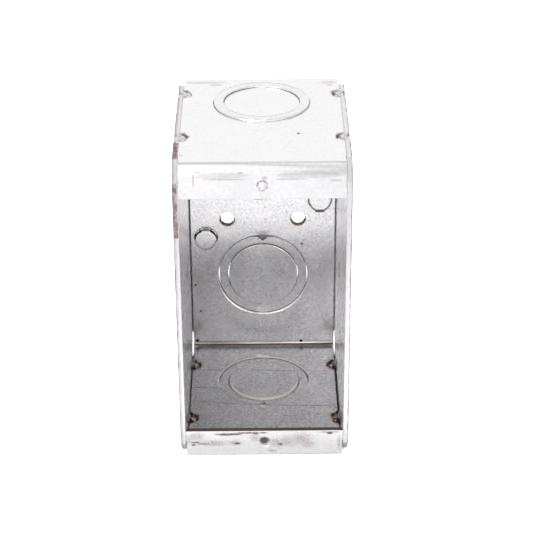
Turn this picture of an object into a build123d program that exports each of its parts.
from build123d import *
import os

# Single-gang masonry box: a steel outlet box for one wiring device, set in a block or brick wall.
# One folded strip makes the top, the back, the bottom and two narrow flanges at the open front.
# Two flat side plates close it. Their edges are kinked into notches of the strip and welded there.
# The box stands on one end. X is its width, the open front faces -Y and Z is up.
# The origin is the middle of its footprint on the ground. All sizes are millimetres.

INCH = 25.4

# Body
BOX_HEIGHT = 3.75 * INCH
BOX_DEPTH = 2.5 * INCH
WRAP_WIDTH = 1.8125 * INCH  # the folded strip alone, between the side plates
SHEET = INCH / 16
BEND_INSIDE = 1.5  # inside radius of the four bends
FLANGE_HEIGHT = 9.8  # from the end of the box to the sheared edge of a front flange

# Sheared edges of the strip: the inner corner is rolled over where it meets a side plate,
# and the strip is a little narrower where it goes round each bend
EDGE_ROLL_WIDTH = 0.45
EDGE_ROLL_DEPTH = 1.0
BEND_RELIEF = 0.22  # cut from each end of a bend
BEND_RELIEF_REACH = 6.4  # along both sides of the bend, from the corner of the box

# Tapped holes for the wiring device, 6-32 thread, one in each front flange
DEVICE_HOLE_FROM_END = 5.95
DEVICE_BORE = 2.85
DEVICE_MOUTH = 3.5  # diameter of the countersink at both faces

# Concentric knockouts for half-inch and three-quarter-inch conduit.
# The ring stands out of the box by the step, and the disc in it lies level with the sheet.
KNOCKOUT_DISC = 22.2
KNOCKOUT_RING_WIDTH = 3.0
KNOCKOUT_SLIT = 0.2
KNOCKOUT_STEP = 0.5
KNOCKOUT_TIE_WIDTH = 2.6
KNOCKOUT_TIE_BITE = 0.5  # how far a tie reaches into the metal on each side of its slit
PRY_NOTCH_WIDTH = 4.3  # a V pressed into the ring from inside the box, for the tip of a screwdriver
PRY_NOTCH_DEPTH = 1.8
PRY_NOTCH_FLOOR = 0.5  # metal left at the bottom of the V
LOWER_KNOCKOUT_FROM_MIDDLE = 19.94  # two in the back, one below its middle and one above
UPPER_KNOCKOUT_FROM_MIDDLE = 21.1
TOP_KNOCKOUT_FROM_BACK = 20.1
BOTTOM_KNOCKOUT_FROM_BACK = 22.7

# Back: two holes for nails or screws, and two round bosses half-sheared into the box
BACK_HOLE = 4.76
BACK_HOLE_SPACING = 22.2
BOSS_DIAMETER = 6.9
BOSS_RISE = 1.45
BOSS_CLEARANCE = 0.12  # between the sheared rim of a boss and its hole
BOSS_FROM_EDGE = 5.15  # from the edge of the strip
BOSS_FROM_MIDDLE = 6.65  # the left boss lies below the middle of the back, the right one above
BOSS_TIE_WIDTH = 1.5
BOSS_TIE_RUN = 0.6  # how far outside the boss the sloping tie starts
BOSS_TIE_LANDING = 0.6  # how far inside the rim it ends

# Side plates
FRONT_CORNER_CUT = 5.4  # 45 degree cut at the two front corners
REAR_CORNER_CUT_DEPTH = 7.0  # cut at the two rear corners, along the end edge
REAR_CORNER_CUT_HEIGHT = 5.0  # and up the rear edge
SIDE_HOLE = 4.76
SIDE_HOLE_FROM_BACK = 24.9
SIDE_HOLE_HEIGHT = 42.0
PLATE_EDGE_BREAK = 0.15

# Weld spots: a kink at each end edge of a side plate and a notch in the strip around it
KINK_WIDTH = 5.2
KINK_DEPTH = 1.5
KINK_RUN = 4.6  # how far from the edge of the plate the kink fades out
FRONT_SPOT_FROM_FRONT = 19.3
REAR_SPOT_FROM_BACK = 13.8
NOTCH_SIDE_GAP = 0.25
NOTCH_TIP_GAP = 1.0

# Worked out from the sizes above
bend_outside = BEND_INSIDE + SHEET
half_width = WRAP_WIDTH / 2
half_depth = BOX_DEPTH / 2
middle = BOX_HEIGHT / 2
knockout_ring = KNOCKOUT_DISC / 2 + KNOCKOUT_RING_WIDTH
notch_length = KINK_WIDTH + 2 * NOTCH_SIDE_GAP
notch_depth = KINK_DEPTH + NOTCH_TIP_GAP
spot_places = (FRONT_SPOT_FROM_FRONT - half_depth, half_depth - REAR_SPOT_FROM_BACK)
through = 4 * SHEET  # length of a tool that passes right through one sheet

# The box is modelled with its bottom at Z = 0 and its walls about the Z axis. The knockout rings stand
# out of the bottom and of the back, so it rests on a ring and is moved to have its footprint centred.
seat = Pos(0, -KNOCKOUT_STEP / 2, KNOCKOUT_STEP)

# Outer surface of each wall: origin on its centre line, Z out of the box
back_wall = Plane(origin=(0, half_depth, middle), x_dir=(-1, 0, 0), z_dir=(0, 1, 0))
top_wall = Plane(origin=(0, half_depth, BOX_HEIGHT), x_dir=(1, 0, 0), z_dir=(0, 0, 1))
bottom_wall = Plane(origin=(0, half_depth, 0), x_dir=(-1, 0, 0), z_dir=(0, 0, -1))


def rounded_outline(inset, radius):
    """Outline of the box seen from the side, drawn on the YZ plane and moved in from its outer faces."""
    outline = RectangleRounded(BOX_DEPTH - 2 * inset, BOX_HEIGHT - 2 * inset, radius)
    return Plane.YZ * Pos(0, middle) * outline


def folded_strip():
    """The bent strip before anything is punched in it."""
    window_height = BOX_HEIGHT - 2 * FLANGE_HEIGHT
    window = Plane.YZ * Pos(-half_depth, middle) * Rectangle(through, window_height)
    profile = rounded_outline(0, bend_outside) - rounded_outline(SHEET, BEND_INSIDE) - window
    return extrude(profile, half_width, both=True)


def edge_roll(side):
    """The metal rolled away at the inner corner of the strip, all along one side of the box."""
    start = Pos(side * (half_width - EDGE_ROLL_WIDTH), 0, 0) * rounded_outline(SHEET, BEND_INSIDE)
    inset = SHEET - EDGE_ROLL_DEPTH
    end = Pos(side * half_width, 0, 0) * rounded_outline(inset, BEND_INSIDE + EDGE_ROLL_DEPTH)
    return loft([start, end])


def bend_reliefs():
    """The shallow cuts that leave the strip narrower round its four bends."""
    cutter = Box(2 * BEND_RELIEF, 2 * BEND_RELIEF_REACH, 2 * BEND_RELIEF_REACH)
    corners = [
        (side * half_width, face * half_depth, end)
        for side in (-1, 1)
        for face in (-1, 1)
        for end in (0, BOX_HEIGHT)
    ]
    return [Pos(*corner) * cutter for corner in corners]


def weld_notches():
    """Rounded notches in the edges of the top and the bottom, around the kinks of the side plates."""
    outline = Ellipse(notch_depth, notch_length / 2)
    cutter = extrude(outline, through / 2, both=True)
    places = [
        (side * half_width, place, end)
        for side in (-1, 1)
        for place in spot_places
        for end in (SHEET / 2, BOX_HEIGHT - SHEET / 2)
    ]
    return [Pos(*place) * cutter for place in places]


def sheet_disc(radius):
    """A disc of the sheet's own thickness, under the XY plane."""
    return Pos(0, 0, -SHEET / 2) * Cylinder(radius, SHEET)


def slit_tie(slit_radius, angle):
    """The bridge of metal left across a sheared slit, as thick as the two levels overlap."""
    length = KNOCKOUT_SLIT + 2 * KNOCKOUT_TIE_BITE
    thickness = SHEET - KNOCKOUT_STEP
    bridge = Box(length, KNOCKOUT_TIE_WIDTH, thickness)
    return Rot(0, 0, angle) * Pos(slit_radius - KNOCKOUT_SLIT / 2, 0, -thickness / 2) * bridge


def concentric_knockout(disc_tie, ring_tie, notch):
    """What fills the hole of a knockout. The angles of its two ties and of its pry notch are degrees."""
    disc_radius = KNOCKOUT_DISC / 2
    disc = sheet_disc(disc_radius - KNOCKOUT_SLIT)
    ring = sheet_disc(knockout_ring - KNOCKOUT_SLIT) - Cylinder(disc_radius, through)
    if notch is not None:
        tip = knockout_ring - KNOCKOUT_SLIT - PRY_NOTCH_DEPTH
        mouth = knockout_ring + KNOCKOUT_SLIT
        wedge = Polyline((tip, 0), (mouth, PRY_NOTCH_WIDTH / 2), (mouth, -PRY_NOTCH_WIDTH / 2), close=True)
        ring -= Rot(0, 0, notch) * Pos(0, 0, -PRY_NOTCH_FLOOR) * extrude(make_face(wedge), -through)
    filling = disc + Pos(0, 0, KNOCKOUT_STEP) * ring
    filling += slit_tie(disc_radius, disc_tie)
    filling += slit_tie(knockout_ring, ring_tie)
    return filling


def half_sheared_boss():
    """A round boss pushed into the box, under the XY plane, with its sloping tie towards +Y."""
    radius = BOSS_DIAMETER / 2
    boss = Pos(0, 0, -BOSS_RISE) * sheet_disc(radius)
    start = radius + BOSS_TIE_RUN
    landing = radius - BOSS_TIE_LANDING
    slope = Polyline(
        (landing, -BOSS_RISE),
        (landing, -BOSS_RISE - SHEET),
        (start, -SHEET),
        (start, 0),
        close=True,
    )
    side_view = Plane(origin=(0, 0, 0), x_dir=(0, 1, 0), z_dir=(1, 0, 0))
    tie = extrude(side_view * make_face(slope), BOSS_TIE_WIDTH / 2, both=True)
    return boss + tie


def device_hole(end):
    """Tool for a tapped hole in the front flange at one end, with a countersink at both faces."""
    sink = (DEVICE_MOUTH - DEVICE_BORE) / 2
    bore = Cylinder(DEVICE_BORE / 2, through)
    cone = Cone(DEVICE_BORE / 2, DEVICE_MOUTH / 2, sink)
    outer_sink = Pos(0, 0, -sink / 2) * cone
    inner_sink = Pos(0, 0, -SHEET + sink / 2) * Rot(180, 0, 0) * cone
    height = DEVICE_HOLE_FROM_END if end == 0 else BOX_HEIGHT - DEVICE_HOLE_FROM_END
    flange = Plane(origin=(0, -half_depth, height), x_dir=(1, 0, 0), z_dir=(0, -1, 0))
    return flange * (bore + outer_sink + inner_sink)


def folded_wrap():
    """The whole folded strip with its notches, holes, bosses and knockouts."""
    wrap = folded_strip()
    wrap -= [edge_roll(-1), edge_roll(1)]
    wrap -= bend_reliefs()
    wrap -= weld_notches()

    # Angles run from the local X axis of each wall: on the back 90 is up, on the ends it is the rear
    knockouts = [
        (back_wall * Pos(0, -LOWER_KNOCKOUT_FROM_MIDDLE), -90, -90, 90),
        (back_wall * Pos(0, UPPER_KNOCKOUT_FROM_MIDDLE), 90, 90, -90),
        (top_wall * Pos(0, -TOP_KNOCKOUT_FROM_BACK), 90, -90, None),
        (bottom_wall * Pos(0, -BOTTOM_KNOCKOUT_FROM_BACK), 90, 90, -90),
    ]
    for place, disc_tie, ring_tie, notch in knockouts:
        wrap -= place * Cylinder(knockout_ring, through)
        wrap += place * concentric_knockout(disc_tie, ring_tie, notch)

    boss_hole = Cylinder(BOSS_DIAMETER / 2 + BOSS_CLEARANCE, through)
    for turn in (0, 180):
        place = back_wall * Rot(0, 0, turn) * Pos(half_width - BOSS_FROM_EDGE, -BOSS_FROM_MIDDLE)
        wrap -= place * boss_hole
        wrap += place * half_sheared_boss()

    for side in (-1, 1):
        wrap -= back_wall * Pos(side * BACK_HOLE_SPACING / 2, 0) * Cylinder(BACK_HOLE / 2, through)
    for end in (0, 1):
        wrap -= device_hole(end)
    return wrap


def kink(face, place, end, turn):
    """The tapering V that one weld spot presses into a face of the right plate at X = face."""
    triangle = Polyline(
        (face, place - KINK_WIDTH / 2, end),
        (face - KINK_DEPTH, place, end),
        (face, place + KINK_WIDTH / 2, end),
        close=True,
    )
    return loft([make_face(triangle), Vertex(face, place, end + turn * KINK_RUN)])


def side_plate():
    """The right side plate, in place over the edge of the strip."""
    outline = Polyline(
        (-half_depth, FRONT_CORNER_CUT),
        (-half_depth + FRONT_CORNER_CUT, 0),
        (half_depth - REAR_CORNER_CUT_DEPTH, 0),
        (half_depth, REAR_CORNER_CUT_HEIGHT),
        (half_depth, BOX_HEIGHT - REAR_CORNER_CUT_HEIGHT),
        (half_depth - REAR_CORNER_CUT_DEPTH, BOX_HEIGHT),
        (-half_depth + FRONT_CORNER_CUT, BOX_HEIGHT),
        (-half_depth, BOX_HEIGHT - FRONT_CORNER_CUT),
        close=True,
    )
    plate = Pos(half_width, 0, 0) * extrude(Plane.YZ * make_face(outline), SHEET)
    plate = chamfer(plate.faces().sort_by(Axis.X)[-1].edges(), PLATE_EDGE_BREAK)
    for place in spot_places:
        for end, turn in ((0, 1), (BOX_HEIGHT, -1)):
            plate += kink(half_width, place, end, turn)
            plate -= kink(half_width + SHEET, place, end, turn)
    hole_axis = Plane(origin=(half_width, half_depth - SIDE_HOLE_FROM_BACK, SIDE_HOLE_HEIGHT), z_dir=(1, 0, 0))
    return plate - hole_axis * Cylinder(SIDE_HOLE / 2, through)


right_plate = side_plate()
nodes = {
    "folded_wrap": seat * folded_wrap(),
    "side_plate_right": seat * right_plate,
    "side_plate_left": seat * mirror(right_plate, Plane.YZ),
}

os.makedirs("parts", exist_ok=True)
for name, solid in nodes.items():
    export_step(solid, f"parts/{name}.step")
    print(name, len(solid.solids()), "solid", round(solid.volume), "mm3", solid.bounding_box().size)
